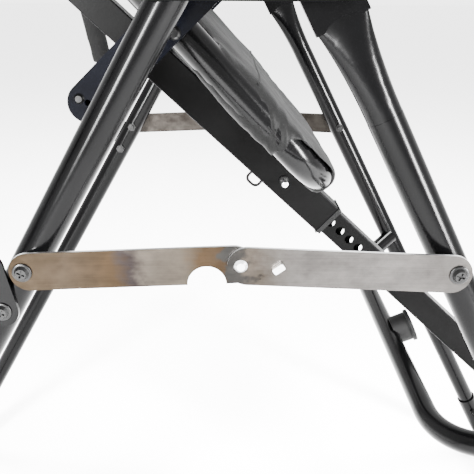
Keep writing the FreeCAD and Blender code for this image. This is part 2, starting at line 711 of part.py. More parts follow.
def strap_rivets(side_name, side):
    """The rivet's outer half and the stop pin stay with the front strap."""
    plate = size("strap_plate")
    face = size("strap_y") + 2 * plate + size("strap_gap")
    along = (FRONT_STRAP - STRAP_MIDDLE).normalize()
    middle = side_vector(STRAP_MIDDLE, side * (face + 0.05))
    head = domed_head("rivet_head_" + side_name, middle, side, 6.0, 2.6)
    shank = cylinder("rivet_shank_" + side_name, "strap_bolt / 2", "strap_plate", across(middle, -side))
    rivet = fuse("strap_rivet_" + side_name, head, shank)
    tab = centred_box("stop_tab_" + side_name, "11", "4", "6",
                      frame_placement(side_vector(STRAP_MIDDLE + along * 33.6, side * (face + 2.1)),
                                      (along + Vector(0, 0, 0.75)).normalize(), Vector(0, 1, 0)))
    tab_round = rounded_edges("stop_tab_round_" + side_name, tab, 1.6,
                              lambda edge: edge.BoundBox.YLength > 3.0 and edge.BoundBox.YLength < 5.0)
    return rivet, tab_round


# ---------------------------------------------------------------- rest bar
REST = PIVOT + Vector(size("bar_x"), 0, size("bar_z"))


def rest_bar():
    """A wide shallow U between the front legs; its middle stands behind them and carries the bumper."""
    on_leg = leg_point("front", PIVOT.z - REST.z)
    offset = REST - on_leg
    direction = leg_direction("front")
    joint = on_leg + direction * offset.dot(direction)
    half = size("bar_half")
    corner_right = REST + Vector(0, -half, 0)
    right_joint = side_vector(joint, -LEG_Y + 9.0)
    arm = corner_right - right_joint
    along = arm.normalize()
    start = right_joint
    run = Vector(0, 1, 0)
    normal = along.cross(run).normalize()
    side_axis = along.cross(normal)
    if side_axis.dot(run) < 0:
        side_axis = side_axis * -1
    arm_length = (corner_right - right_joint).Length
    turn_cos = along.dot(run)
    turn_sin = side_axis.dot(run)
    second = (turn_sin * 2 * half, arm_length + turn_cos * 2 * half)
    left_joint = side_vector(joint, LEG_Y - 9.0) - start
    last = (left_joint.dot(side_axis), left_joint.dot(along))
    corners = [(0, 0), (0, arm_length), second, last]
    placement = frame_placement(start, side_axis, along)
    tube = bent_tube("rest_bar_tube", corners, size("bar_bend"), "bar_diameter / 2", "bar_wall", placement)
    legs = []
    for side in SIDES.values():
        top = leg_point("front", 380.0, side * LEG_Y)
        foot = leg_point("front", 700.0, side * LEG_Y)
        legs.append(cylinder("rest_bar_cope%d" % side, "leg_diameter / 2 + 0.05", "320",
                             axis_placement(top, foot - top)))
    keep(cut("rest_bar", tube, *legs), "rest_bar")


def rest_bumper():
    """A flanged rubber stop, screwed to the middle of the rest bar, that the shaft leans on."""
    tilt = math.radians(size("bumper_tilt"))
    axis = Vector(math.cos(tilt), 0, math.sin(tilt))
    reach = size("bumper_reach")
    core = REST + axis * 8.0
    body = cylinder("bumper_core", "bumper_diameter / 2", "bumper_reach - 8", axis_placement(core, axis))
    lip_start = axis_placement(REST + axis * (reach - 6.0), axis)
    flange = cylinder("bumper_lip", "bumper_flange / 2", "6", lip_start)
    rim = math.pi * size("bumper_flange")
    solid = rounded_edges("bumper_edges", fuse("bumper_solid", body, flange), 1.5,
                          lambda edge: len(edge.Vertexes) == 1 and abs(edge.Length - rim) < 1)
    bar = cylinder("bumper_saddle", "bar_diameter / 2 + 0.05", "120", across(side_vector(REST, -60.0)))
    hole = cylinder("bumper_hole", "3.1", "200", axis_placement(REST - axis * 60.0, axis))
    recess = cylinder("bumper_recess", "8", "20", axis_placement(REST + axis * (reach - 7.0), axis))
    keep(cut("rest_bumper", solid, bar, hole, recess), "rest_bumper")
    screw = cylinder("bumper_shank", "3", "bumper_reach - 21.3", axis_placement(REST + axis * 14.4, axis))
    head = cylinder("bumper_head", "6.5", "3.5", axis_placement(REST + axis * (reach - 9.0 + 2.1), axis))
    keep(fuse("bumper_screw", screw, head), "bumper_screw")


# ---------------------------------------------------------------- boom
def boom():
    """The outer rectangular tube; it holds the crossbar and guides the sliding shaft."""
    length = size("boom_end") - size("boom_top")
    drop = -size("boom_drop")
    placement = boom_placement(size("boom_top"), 0, drop)
    tube = box_tube("boom_tube", str(length), "boom_width", "boom_height", "boom_wall", 2.0, placement)
    hole = cylinder("boom_pin_hole", "lock_pin / 2 + 1.3", "60", across(boom_point(size("pin_s"), 0, drop), -1))
    keep(cut("boom", tube, hole), "boom")
    shape = box_tube("collar_tube", "collar", "boom_width", "boom_height", "boom_wall", 2.0,
                     boom_placement(size("boom_end") + 0.2, 0, drop))
    lip = centred_box("collar_lip", "2", "boom_width + 3", "boom_height + 3",
                      boom_placement(size("boom_end") + 1.3, 0, drop))
    bore = centred_box("collar_bore", "30", "shaft_width + 1.0", "shaft_height + 1.0",
                       boom_placement(size("boom_end"), 0, drop))
    keep(cut("boom_collar", fuse("collar_solid", shape, lip), bore), "boom_collar")


def tether_loop():
    """A wire loop welded under the boom, where a tether clips on."""
    under = -size("boom_drop") - size("boom_height") / 2
    wire, width, reach = 2.0, 20.0, 15.0
    loop = bent_tube("tether_loop", [(0, 0), (0, reach), (width, reach), (width, 0)], 7.0, str(wire), "",
                     frame_placement(boom_point(209.0 - width / 2, 0, under - 0.05), BOOM_ALONG, BOOM_OUT * -1))
    keep(loop, "tether_loop")


def pin_bush():
    face = size("boom_width") / 2
    point = boom_point(size("pin_s"), -face - 0.1, -size("boom_drop"))
    ring = cylinder("pin_bush_ring", "6.4", "3", across(point, -1))
    bore = cylinder("pin_bush_bore", "lock_pin / 2 + 0.06", "20", across(point + Vector(0, 5, 0), -1))
    soft = rounded_edges("pin_bush_edges", ring, 0.8, lambda edge: len(edge.Vertexes) == 1)
    keep(cut("pin_bush", soft, bore), "pin_bush")


def height_pin():
    """The height lock pin, drawn out: its nose stands just clear of the sliding shaft."""
    nose = -size("shaft_width") / 2 - 0.5
    point = boom_point(size("pin_s"), nose, -size("boom_drop"))
    shank = cylinder("height_pin_shank", "lock_pin / 2", "27", across(point, -1))
    keep(rounded_edges("height_pin", shank, 1.4, lambda edge: len(edge.Vertexes) == 1), "height_pin")


# ---------------------------------------------------------------- hinge arms and bed frame
def hinge_arm(side_name, side):
    """A flat bar at right angles to the bed that hangs it from the pivot pin."""
    name = "hinge_arm_" + side_name
    length = size("arm_top") - size("arm_bottom") - size("arm_width")
    y = side * size("arm_y")
    low = size("arm_bottom") + size("arm_width") / 2
    start = bed_point(0, y, low)
    placement = frame_placement(start, BED_OUT, BED_OUT.cross(Vector(0, side, 0)) * -1)
    body = slot_plate(name, length, "arm_width", "arm_plate", "arm_hole", placement)
    keep(body, name)
    out = y + side * (size("arm_plate") + 0.1)
    pin = cylinder("pivot_pin_body_" + side_name, "pin_diameter / 2", str(INNER_Y - abs(out) - 4.0),
                   across(bed_point(0, out, 0), side))
    return pin


def arm_fixings():
    """Spacer tubes and bolts that tie the bed rails to the hinge arms."""
    spacers = []
    bolts = []
    gap = size("arm_y") - size("rail_y") - size("rail_diameter") / 2
    for side in SIDES.values():
        for index, along in enumerate((-11.0, 11.0)):
            start = bed_point(along, side * (size("arm_y") - 0.1), -size("bed_drop"))
            label = "rail_spacer%d%d" % (side, index)
            spacers.append(cylinder(label, "8", str(gap - 0.3), across(start, -side)))
            head_at = bed_point(along, side * (size("arm_y") + size("arm_plate") + 0.1), -size("bed_drop"))
            bolts.append(domed_head("rail_bolt%d%d" % (side, index), head_at, side, 6.5, 4.0))
        for index, along in enumerate((-8.0, 8.0)):
            head_at = boom_point(-15.0 + along, side * (size("arm_y") + size("arm_plate") + 0.1), -214.8)
            bolts.append(domed_head("cross_bolt%d%d" % (side, index), head_at, side, 5.0, 3.5))
    keep(group("rail_spacers", spacers), "rail_spacers")
    keep(group("arm_bolts", bolts), "arm_bolts")


def hinge_crossbar():
    """A square tube under the boom, from one hinge arm to the other."""
    half = size("arm_y") - 0.2
    start = boom_point(-15.0, -half, -size("boom_drop") - size("boom_height") / 2 - size("cross_tube") / 2 - 0.2)
    placement = frame_placement(start, Vector(0, 1, 0), BOOM_OUT.cross(Vector(0, 1, 0)))
    keep(box_tube("hinge_crossbar", str(2 * half), "cross_tube", "cross_tube", "boom_wall", 2.0, placement),
         "hinge_crossbar")


def boom_saddles():
    """The blocks that the bed frame's foot bow and its middle stay rest on."""
    drop = -size("bed_drop") - size("rail_diameter") / 2
    top = -size("boom_drop") + size("boom_height") / 2
    block = centred_box("bed_saddle_block", "34", "36", "40", boom_placement(247.0, 0, top + 20.1))
    bow = cylinder("bed_saddle_bow", "rail_diameter / 2 + 0.1", "60",
                   across(bed_point(size("bed_foot"), -30.0, -size("bed_drop"))))
    trim = centred_box("bed_saddle_trim", "60", "60", "60",
                       bed_placement(size("bed_foot"), 0, drop + 10.0 + 30.0))
    keep(cut("bed_saddle", block, bow, trim), "bed_saddle")


def bed_rails():
    bend = size("bow_bend")
    rail_r = "rail_diameter / 2"
    for side_name, side in SIDES.items():
        start = bed_point(size("bed_head") + bend, side * size("rail_y"), -size("bed_drop"))
        end = bed_point(size("bed_foot") - bend, side * size("rail_y"), -size("bed_drop"))
        name = "bed_rail_" + side_name
        keep(straight_tube(name, rail_r, "rail_wall", start, end), name)
    wide = 2 * size("rail_y")
    start = bed_point(size("bed_foot") - bend + 0.1, size("rail_y"), -size("bed_drop"))
    corners = [(0, 0), (0, bend - 0.1), (wide, bend - 0.1), (wide, 0)]
    placement = frame_placement(start, Vector(0, -1, 0), BED_ALONG)
    keep(bent_tube("bed_foot_bow", corners, bend - 0.4, rail_r, "rail_wall", placement), "bed_foot_bow")
    start = bed_point(size("bed_head") + bend - 0.1, size("rail_y"), -size("bed_drop"))
    placement = frame_placement(start, Vector(0, -1, 0), BED_ALONG * -1)
    keep(bent_tube("bed_head_bow", corners, bend - 0.4, rail_r, "rail_wall", placement), "bed_head_bow")


COVER_CORNER = 76.0
COVER_NOTCH = (-72.0, 45.0)
COVER_FLAP = 15.0


def bed_cover():
    """The sleeve of cloth and foam over the bed frame, open at the hinge arms and at the foot corners."""
    half_y = size("rail_y") + size("cover_side")
    foot = size("bed_foot") + 22.0
    head = size("bed_head") - 20.0
    thick = size("cover_thickness")
    length = foot - head
    drop = size("bed_drop")
    slab = centred_box("bed_cover_slab", str(length), str(2 * half_y), "cover_thickness",
                       bed_placement((foot + head) / 2, 0, -drop))
    plan = rounded_edges("bed_cover_plan", slab, COVER_CORNER, lambda edge: edge.Length < thick + 1)
    round_slab = rounded_edges("bed_cover_edges", plan, thick * 0.42, lambda edge: edge.Length > thick + 1)
    notch_middle = sum(COVER_NOTCH) / 2
    notch_length = COVER_NOTCH[1] - COVER_NOTCH[0]
    flap_low = COVER_FLAP - 40.0
    tools = []
    for side in SIDES.values():
        notch = bed_placement(notch_middle, side * (half_y + 10.0), -drop)
        tools.append(centred_box("cover_notch%d" % side, str(notch_length), "90", "80", notch))
        corner = bed_placement(foot + 2.0, side * (half_y + 20.0), -drop + flap_low)
        tools.append(centred_box("cover_corner%d" % side, "172", "140", "80", corner))
    keep(cut("bed_cover", round_slab, *tools), "bed_cover")


def head_pillow():
    lift = size("cover_thickness") / 2 + 25.3
    block = centred_box("head_pillow_block", "120", "250", "50",
                        bed_placement(size("bed_head") + 110.0, 0, -size("bed_drop") + lift))
    keep(rounded_edges("head_pillow", block, 20.0, lambda edge: edge.Length > 70.0), "head_pillow")


# ---------------------------------------------------------------- sliding shaft and ankle holder
def main_shaft():
    """The perforated inner tube; its holes take the height pin."""
    drop = -size("boom_drop")
    length = size("shaft_end") - size("shaft_top")
    tube = box_tube("shaft_tube", str(length), "shaft_width", "shaft_height", "shaft_wall", 1.6,
                    boom_placement(size("shaft_top"), 0, drop))
    pitch = size("hole_pitch")
    count = int(size("hole_count"))
    first = size("pin_s") - pitch * (count // 2)
    holes = []
    for index in range(count):
        centre = boom_point(first + pitch * index, -30.0, drop)
        holes.append(cylinder("shaft_hole%02d" % index, "hole_diameter / 2", "60", across(centre)))
    keep(cut("main_shaft", tube, group("shaft_holes", holes)), "main_shaft")
    plug = centred_box("shaft_plug", "6", "shaft_width", "shaft_height",
                       boom_placement(size("shaft_top") - 3.1, 0, drop))
    keep(rounded_edges("shaft_end_cap", plug, 1.2, lambda edge: True), "shaft_end_cap")


def foot_platform():
    """A flanged tread across the lower end of the shaft, on an angle bracket."""
    height = size("foot_plate_height")
    drop = -size("boom_drop")
    middle = drop - 12.0 + height / 2
    tread = centred_box("foot_tread", "foot_plate", "foot_plate_width", "foot_plate_height",
                        boom_placement(size("shaft_end") + 6.5, 0, middle))
    rims = []
    for edge in (-1, 1):
        rims.append(centred_box("foot_rim%d" % edge, "16", "foot_plate_width", "3",
                                boom_placement(size("shaft_end") + 12.5, 0, middle + edge * (height / 2 - 1.5))))
    solid = rounded_edges("foot_platform", fuse("foot_tread_solid", tread, *rims), 1.0,
                          lambda edge: edge.Length > 200)
    keep(solid, "foot_platform")
    flange = centred_box("foot_flange", "4", "60", "90", boom_placement(size("shaft_end") + 2.1, 0, drop + 22.0))
    keep(rounded_edges("foot_bracket", flange, 1.2, lambda edge: edge.Length > 50), "foot_bracket")


def roller_pair(prefix, s, n, bar_name):
    half = size("roller_y") + size("roller_length") / 2 + 6.0
    bar = cylinder(bar_name + "_rod", "ankle_bar / 2", str(2 * half), across(boom_point(s, -half, n)))
    keep(rounded_edges(bar_name, bar, 1.5, lambda edge: len(edge.Vertexes) == 1), bar_name)
    for side_name, side in SIDES.items():
        name = "%s_%s" % (prefix, side_name)
        start = boom_point(s, side * (size("roller_y") - size("roller_length") / 2), n)
        outer = cylinder(name + "_outer", "ankle_roller / 2", "roller_length", across(start, side))
        soft = rounded_edges(name + "_edges", outer, 9.0, lambda edge: len(edge.Vertexes) == 1)
        bore = cylinder(name + "_bore", "ankle_bar / 2 + 0.05", "roller_length", across(start, side))
        keep(cut(name, soft, bore), name)


def ankle_holder():
    upright = Placement(Vector(), Rotation(Vector(0, 1, 0), 90))
    top = -size("boom_drop") + size("shaft_height") / 2 + 0.1
    s = size("clamp_s")
    post = centred_box("heel_post", "16", "22", str(size("heel_n") - top), boom_placement(
        size("heel_s"), 0, (top + size("heel_n")) / 2))
    cap = cylinder("heel_cap", "14", "22", across(boom_point(size("heel_s"), -11.0, size("heel_n"))))
    bore_start = across(boom_point(size("heel_s"), -30, size("heel_n")))
    bore = cylinder("heel_bore", "ankle_bar / 2 + 0.05", "60", bore_start)
    keep(cut("heel_bar_bracket", fuse("heel_bracket_solid", post, cap), bore), "heel_bar_bracket")
    height = 96.0
    socket = frame_placement(boom_point(s, 0, top), BOOM_OUT, Vector(0, 1, 0))
    outer = box_tube("clamp_socket_tube", str(height), "clamp_socket", "clamp_socket", "boom_wall", 2.0, socket)
    bore = centred_box("clamp_socket_bore", str(height + 20), "clamp_tube + 0.8", "clamp_tube + 0.8",
                       boom_placement(s, 0, top + height / 2).multiply(upright))
    knob_hole = cylinder("clamp_knob_hole", "4.1", "40", across(boom_point(s, 0, -105.0), -1))
    keep(cut("clamp_socket", outer, bore, knob_hole), "clamp_socket")
    low = top + 6.0
    tube_length = size("clamp_n") - 8.2 - low
    start = frame_placement(boom_point(s, 0, low), BOOM_OUT, Vector(0, 1, 0))
    post = box_tube("clamp_post", str(tube_length), "clamp_tube", "clamp_tube", "boom_wall", 2.0, start)
    keep(post, "clamp_post")
    stem = cylinder("clamp_knob_stem", "4", "14", across(boom_point(s, -13.3, -105.0), -1))
    head = cylinder("clamp_knob_head", "19", "16", across(boom_point(s, -18.0, -105.0), -1))
    grips = []
    for index in range(6):
        angle = math.radians(60.0 * index)
        rim = boom_point(s + 21.5 * math.cos(angle), -17.0, -105.0 + 21.5 * math.sin(angle))
        grips.append(cylinder("clamp_knob_grip%d" % index, "5.5", "20", across(rim, -1)))
    knob = cut("clamp_knob_lobes", head, *grips)
    keep(fuse("clamp_knob", knob, stem), "clamp_knob")


# ---------------------------------------------------------------- build
def build():
    pins = []
    rivets = []
    bearings = []
    for side_name, side in SIDES.items():
        rear_leg(side_name, side)
        front_leg(side_name, side)
        for which in ("rear", "front"):
            spreader_strap(which, side_name, side)
        pivot_bracket(side_name, side)
        pins.append(hinge_arm(side_name, side))
        rivets.extend(strap_rivets(side_name, side))
        bearings.append(pivot_bearing(side_name, side))
    grab_handles()
    keep(group("strap_rivets", rivets), "strap_rivets")
    keep(group("pivot_bearings", bearings), "pivot_bearings")
    keep(group("pivot_pins", pins), "pivot_pins")
    for which in ("rear", "front"):
        floor_base(which)
        feet(which)
    bracket_bolts()
    leg_bolts()
    rest_bar()
    rest_bumper()
    boom()
    tether_loop()
    pin_bush()
    height_pin()
    arm_fixings()
    hinge_crossbar()
    boom_saddles()
    bed_rails()
    bed_cover()
    head_pillow()
    main_shaft()
    foot_platform()
    roller_pair("heel_roller", size("heel_s"), size("heel_n"), "heel_bar")
    roller_pair("instep_roller", size("clamp_s"), size("clamp_n"), "instep_bar")
    ankle_holder()


def check_and_write():
    doc.recompute()
    faults = []
    for obj in doc.Objects:
        if "Invalid" in obj.State or "Error" in obj.State:
            faults.append("%s is %s" % (obj.Name, obj.State))
    for obj in SUBPARTS:
        if obj.Shape.isNull() or not obj.Shape.isValid():
            faults.append(obj.Label + " has no valid shape")
    if faults:
        raise RuntimeError("; ".join(faults))
    os.makedirs("parts", exist_ok=True)
    whole = FreeCAD.BoundBox()
    for obj in SUBPARTS:
        obj.Shape.exportStep("parts/%s.step" % obj.Label)
        whole.add(obj.Shape.BoundBox)
    print(len(SUBPARTS), "sub-parts; box", whole)


build()
check_and_write()
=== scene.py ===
"""Looks for the inversion table: painted tubes, zinc straps, vinyl bed cover, foam grips and rollers."""

import json
import math

import bmesh
import bpy
from mathutils import Matrix, Vector
from mathutils import noise
from mathutils.bvhtree import BVHTree


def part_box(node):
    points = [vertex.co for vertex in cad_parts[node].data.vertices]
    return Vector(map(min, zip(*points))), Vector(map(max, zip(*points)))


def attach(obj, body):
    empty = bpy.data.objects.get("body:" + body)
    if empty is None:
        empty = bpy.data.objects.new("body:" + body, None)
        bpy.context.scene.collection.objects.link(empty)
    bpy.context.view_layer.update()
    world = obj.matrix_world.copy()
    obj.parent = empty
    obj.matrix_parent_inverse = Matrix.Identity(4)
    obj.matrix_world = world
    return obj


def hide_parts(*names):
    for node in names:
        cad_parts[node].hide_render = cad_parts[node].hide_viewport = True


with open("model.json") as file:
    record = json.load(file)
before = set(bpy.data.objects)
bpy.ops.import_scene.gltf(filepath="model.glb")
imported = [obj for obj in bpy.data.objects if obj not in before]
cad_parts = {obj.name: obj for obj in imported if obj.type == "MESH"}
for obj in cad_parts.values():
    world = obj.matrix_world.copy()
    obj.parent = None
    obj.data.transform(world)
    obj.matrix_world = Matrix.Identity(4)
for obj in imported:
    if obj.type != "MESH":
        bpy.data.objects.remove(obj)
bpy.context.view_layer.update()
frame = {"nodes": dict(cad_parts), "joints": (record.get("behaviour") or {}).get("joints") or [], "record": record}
NODES = frame["nodes"]

# ---------------------------------------------------------------- the frame's axes
JOINTS = {joint["name"]: joint for joint in frame["joints"]}
PIVOT = Vector(JOINTS["table_tilt"]["pos_m"])
BOOM_ALONG = Vector(JOINTS["shaft_slide"]["axis"])
BOOM_OUT = Vector(JOINTS["ankle_clamp_slide"]["axis"])
ACROSS = Vector((0, 1, 0))
BED_PITCH = math.radians(4.0)  # the bed's turn from the boom
BED_ALONG = Matrix.Rotation(BED_PITCH, 3, "Y") @ BOOM_ALONG
BED_OUT = Matrix.Rotation(BED_PITCH, 3, "Y") @ BOOM_OUT
LEFT, RIGHT = 1, -1
SIDES = {"left": LEFT, "right": RIGHT}


# ---------------------------------------------------------------- material helpers
def node_of(tree, kind, **inputs):
    """A shader node with its inputs set: a value is set on the socket, another node's output is linked."""
    made = tree.nodes.new(kind)
    for name, value in inputs.items():
        socket = made.inputs[name.replace("_", " ")]
        if isinstance(value, bpy.types.NodeSocket):
            tree.links.new(value, socket)
        else:
            socket.default_value = value
    return made


def grey(value, tint=(1.0, 1.0, 1.0)):
    return (value * tint[0], value * tint[1], value * tint[2], 1.0)


def ramp(tree, factor, low, high, stops=(0.0, 1.0)):
    """A blend from colour low to colour high as the factor passes from the first stop to the second."""
    made = tree.nodes.new("ShaderNodeValToRGB")
    tree.links.new(factor, made.inputs["Fac"])
    for element, place, colour in zip(made.color_ramp.elements, stops, (low, high)):
        element.position = place
        element.color = colour
    return made.outputs["Color"]


def spread(tree, factor, low, high, start=0.0, end=1.0):
    """A number that goes from low to high as the factor goes from start to end."""
    made = node_of(tree, "ShaderNodeMapRange", Value=factor)
    for name, value in (("From Min", start), ("From Max", end), ("To Min", low), ("To Max", high)):
        made.inputs[name].default_value = value
    return made.outputs["Result"]


def scaled(colour, factor):
    """The colour made darker or lighter."""
    return tuple(min(1.0, channel * factor) for channel in colour[:3]) + (1.0,)


def surface(name, metallic=0.0, sheen=0.0, specular=0.5):
    """A new material with a Principled shader; returns the material, its tree and the shader."""
    material = bpy.data.materials.new(name)
    material.use_nodes = True
    tree = material.node_tree
    shader = tree.nodes["Principled BSDF"]
    shader.inputs["Metallic"].default_value = metallic
    shader.inputs["Sheen Weight"].default_value = sheen
    shader.inputs["Specular IOR Level"].default_value = specular
    return material, tree, shader


def object_position(tree, scale=(1.0, 1.0, 1.0)):
    """The point of the piece being shaded, stretched by a scale."""
    place = tree.nodes.new("ShaderNodeTexCoord")
    mapping = node_of(tree, "ShaderNodeMapping", Vector=place.outputs["Object"])
    mapping.inputs["Scale"].default_value = scale
    return mapping.outputs["Vector"]


def noise_of(tree, vector, scale, detail=4.0, roughness=0.55):
    made = node_of(tree, "ShaderNodeTexNoise", Vector=vector, Scale=scale, Detail=detail, Roughness=roughness)
    return made.outputs["Fac"]


def bump(tree, shader, height, strength, distance, under=None):
    """Relief on the shader's normal, laid over an earlier relief if one is given; returns the new normal."""
    made = node_of(tree, "ShaderNodeBump", Height=height, Strength=strength, Distance=distance)
    if under is not None:
        tree.links.new(under, made.inputs["Normal"])
    tree.links.new(made.outputs["Normal"], shader.inputs["Normal"])
    return made.outputs["Normal"]


def painted(name, colour, roughness, peel, specular):
    """Baked powder paint: faint orange peel, dust-fine flecks, and roughness that drifts along the tube."""
    material, tree, shader = surface(name, specular=specular)
    place = object_position(tree)
    drift = noise_of(tree, place, 14.0, 5.0)
    flecks = noise_of(tree, place, 900.0, 2.0)
    shade = ramp(tree, drift, scaled(colour, 0.7), scaled(colour, 1.5), (0.35, 0.75))
    tree.links.new(shade, shader.inputs["Base Color"])
    tree.links.new(spread(tree, drift, roughness * 0.85, roughness * 1.25), shader.inputs["Roughness"])
    first = bump(tree, shader, noise_of(tree, place, 260.0, 3.0), peel, 0.0006)
    bump(tree, shader, flecks, peel * 0.4, 0.0002, first)
    return material


def math_of(tree, operation, first, second=0.0):
    """The result of a maths node; each value is a number or another node's output."""
    made = tree.nodes.new("ShaderNodeMath")
    made.operation = operation
    for socket, value in zip(made.inputs, (first, second)):
        if isinstance(value, bpy.types.NodeSocket):
            tree.links.new(value, socket)
        else:
            socket.default_value = value
    return made.outputs[0]


MIX_FACTOR, MIX_FIRST, MIX_SECOND, MIX_RESULT = 0, 6, 7, 2  # a colour mix's own sockets on the Mix node


def mixed_colour(tree, factor, first, second):
    """The first colour where the factor is 0 and the second where it is 1."""
    made = tree.nodes.new("ShaderNodeMix")
    made.data_type = "RGBA"
    tree.links.new(factor, made.inputs[MIX_FACTOR])
    tree.links.new(first, made.inputs[MIX_FIRST])
    tree.links.new(second, made.inputs[MIX_SECOND])
    return made.outputs[MIX_RESULT]


STRAP_SPAN = (-0.22, 0.20)  # the X range, in metres, that the bands are laid over
STRAP_WANDER = 0.05  # how far a band's edge strays, in metres
STRAP_INWARD = -0.05  # Y place times Y of the normal: below this the face looks at the other strap and gets painted shade
STRAP_CUT_EDGE = 0.6  # Y of the normal: below this the face is the bar's cut edge, which gets a painted highlight
STRAP_BANDS = (  # share of the span, base colour
    (0.00, (0.0112, 0.0080, 0.0051)),
    (0.12, (0.0140, 0.0105, 0.0072)),
    (0.23, (0.0120, 0.0080, 0.0046)),
    (0.262, (0.0075, 0.0062, 0.0060)),
    (0.30, (0.0200, 0.0172, 0.0140)),
    (0.37, (0.0215, 0.0182, 0.0144)),
    (0.42, (0.0125, 0.0082, 0.0048)),
    (0.462, (0.0110, 0.0074, 0.0046)),
    (0.468, (0.0075, 0.0072, 0.0068)),
    (0.508, (0.0080, 0.0075, 0.0070)),
    (0.522, (0.0185, 0.0155, 0.0125)),
    (0.60, (0.0260, 0.0242, 0.0226)),
    (0.80, (0.0310, 0.0292, 0.0276)),
    (1.00, (0.0275, 0.0256, 0.0240)),
)


def zinc_strap(name):
    """Rolled zinc-plated flat bar: brushed along its length, with brown stains and dark bands, a painted
    highlight on the cut edges, and painted shade on the inner face that looks at the other strap."""
    material, tree, shader = surface(name, metallic=1.0)
    grain = noise_of(tree, object_position(tree, (3.0, 3.0, 420.0)), 4.0, 6.0, 0.7)
    cloud = noise_of(tree, object_position(tree, (30.0, 1.0, 44.0)), 1.3, 5.0, 0.62)
    place = tree.nodes.new("ShaderNodeTexCoord")
    spot = node_of(tree, "ShaderNodeSeparateXYZ", Vector=place.outputs["Object"])
    facing = node_of(tree, "ShaderNodeSeparateXYZ", Vector=place.outputs["Normal"])
    wander = math_of(tree, "MULTIPLY", math_of(tree, "SUBTRACT", cloud, 0.5), STRAP_WANDER)
    along = math_of(tree, "ADD", spot.outputs["X"], wander)
    bands = tree.nodes.new("ShaderNodeValToRGB")
    tree.links.new(spread(tree, along, 0.0, 1.0, *STRAP_SPAN), bands.inputs["Fac"])
    for _ in range(len(STRAP_BANDS) - 2):
        bands.color_ramp.elements.new(0.5)
    for element, (position, colour) in zip(bands.color_ramp.elements, STRAP_BANDS):
        element.position = position
        element.color = colour + (1.0,)
    streak = math_of(tree, "ADD", math_of(tree, "MULTIPLY", grain, 0.6), cloud)
    streaked = tree.nodes.new("ShaderNodeVectorMath")
    streaked.operation = "SCALE"
    tree.links.new(bands.outputs["Color"], streaked.inputs[0])
    tree.links.new(spread(tree, streak, 0.62, 1.38, 0.55, 1.05), streaked.inputs["Scale"])
    # Painted shade: the faces that look at the other strap get a darker brown.
    shaded_brown_low, shaded_brown_high = grey(0.006, (1.0, 0.86, 0.74)), grey(0.022, (1.0, 0.9, 0.8))
    inner = ramp(tree, cloud, shaded_brown_low, shaded_brown_high, (0.3, 0.8))
    turned = math_of(tree, "MULTIPLY", spot.outputs["Y"], facing.outputs["Y"])
    shaded_inner_mask = math_of(tree, "LESS_THAN", turned, STRAP_INWARD)
    edge = math_of(tree, "LESS_THAN", math_of(tree, "ABSOLUTE", facing.outputs["Y"]), STRAP_CUT_EDGE)
    base = mixed_colour(tree, shaded_inner_mask, streaked.outputs[0], inner)
    # Painted highlight: the cut edges get a pale grey in place of the gleam of light along the rims.
    painted_edge_highlight = ramp(tree, grain, grey(0.30), grey(0.65))
    tree.links.new(mixed_colour(tree, edge, base, painted_edge_highlight), shader.inputs["Base Color"])
    tree.links.new(spread(tree, cloud, 0.20, 0.44), shader.inputs["Roughness"])
    bump(tree, shader, grain, 0.28, 0.0004)
    return material


def bright_steel(name, roughness, value):
    """Smooth plated steel with faint spots; a low value makes it blackened."""
    material, tree, shader = surface(name, metallic=1.0)
    place = object_position(tree)
    spots = noise_of(tree, place, 120.0, 4.0)
    tree.links.new(ramp(tree, spots, grey(value * 0.7), grey(value * 1.15)), shader.inputs["Base Color"])
    tree.links.new(spread(tree, spots, roughness * 0.7, roughness * 1.5), shader.inputs["Roughness"])
    bump(tree, shader, noise_of(tree, place, 600.0, 2.0), 0.12, 0.0002)
    return material


def moulded(name, colour, roughness, grain=420.0, depth=0.35):
    """Moulded plastic or rubber with a fine spark-eroded grain."""
    material, tree, shader = surface(name, specular=0.05)
    place = object_position(tree)
    drift = noise_of(tree, place, 30.0, 4.0)
    tree.links.new(ramp(tree, drift, scaled(colour, 0.75), scaled(colour, 1.3)), shader.inputs["Base Color"])
    tree.links.new(spread(tree, drift, roughness * 0.9, roughness * 1.15), shader.inputs["Roughness"])
    bump(tree, shader, noise_of(tree, place, grain, 5.0, 0.7), depth, 0.0005)
    return material


def foam(name, colour, cell=520.0, depth=0.6):
    """Closed-cell foam skin: small open cells over a soft, uneven surface."""
    material, tree, shader = surface(name, sheen=0.004, specular=0.04)
    place = object_position(tree)
    cells = node_of(tree, "ShaderNodeTexVoronoi", Vector=place, Scale=cell)
    drift = noise_of(tree, place, 24.0, 5.0)
    tree.links.new(ramp(tree, drift, scaled(colour, 0.6), scaled(colour, 1.5)), shader.inputs["Base Color"])
    shader.inputs["Roughness"].default_value = 0.82
    first = bump(tree, shader, drift, 0.25, 0.002)
    bump(tree, shader, cells.outputs["Distance"], depth, 0.0008, first)
    return material


def vinyl(name, colour, roughness=0.52):
    """Coated upholstery cloth: pebbled leather grain, broad creases, and a soft shine."""
    material, tree, shader = surface(name, specular=0.035)
    place = object_position(tree)
    pebble = node_of(tree, "ShaderNodeTexVoronoi", Vector=place, Scale=360.0)
    crease = noise_of(tree, object_position(tree, (1.0, 0.5, 1.0)), 34.0, 6.0, 0.62)
    drift = noise_of(tree, place, 9.0, 4.0)
    shade = ramp(tree, drift, scaled(colour, 0.8), scaled(colour, 1.3), (0.3, 0.8))
    tree.links.new(shade, shader.inputs["Base Color"])
    tree.links.new(spread(tree, crease, roughness * 0.75, roughness * 1.35), shader.inputs["Roughness"])
    first = bump(tree, shader, crease, 0.22, 0.002)
    bump(tree, shader, pebble.outputs["Distance"], 0.35, 0.0006, first)
    return material


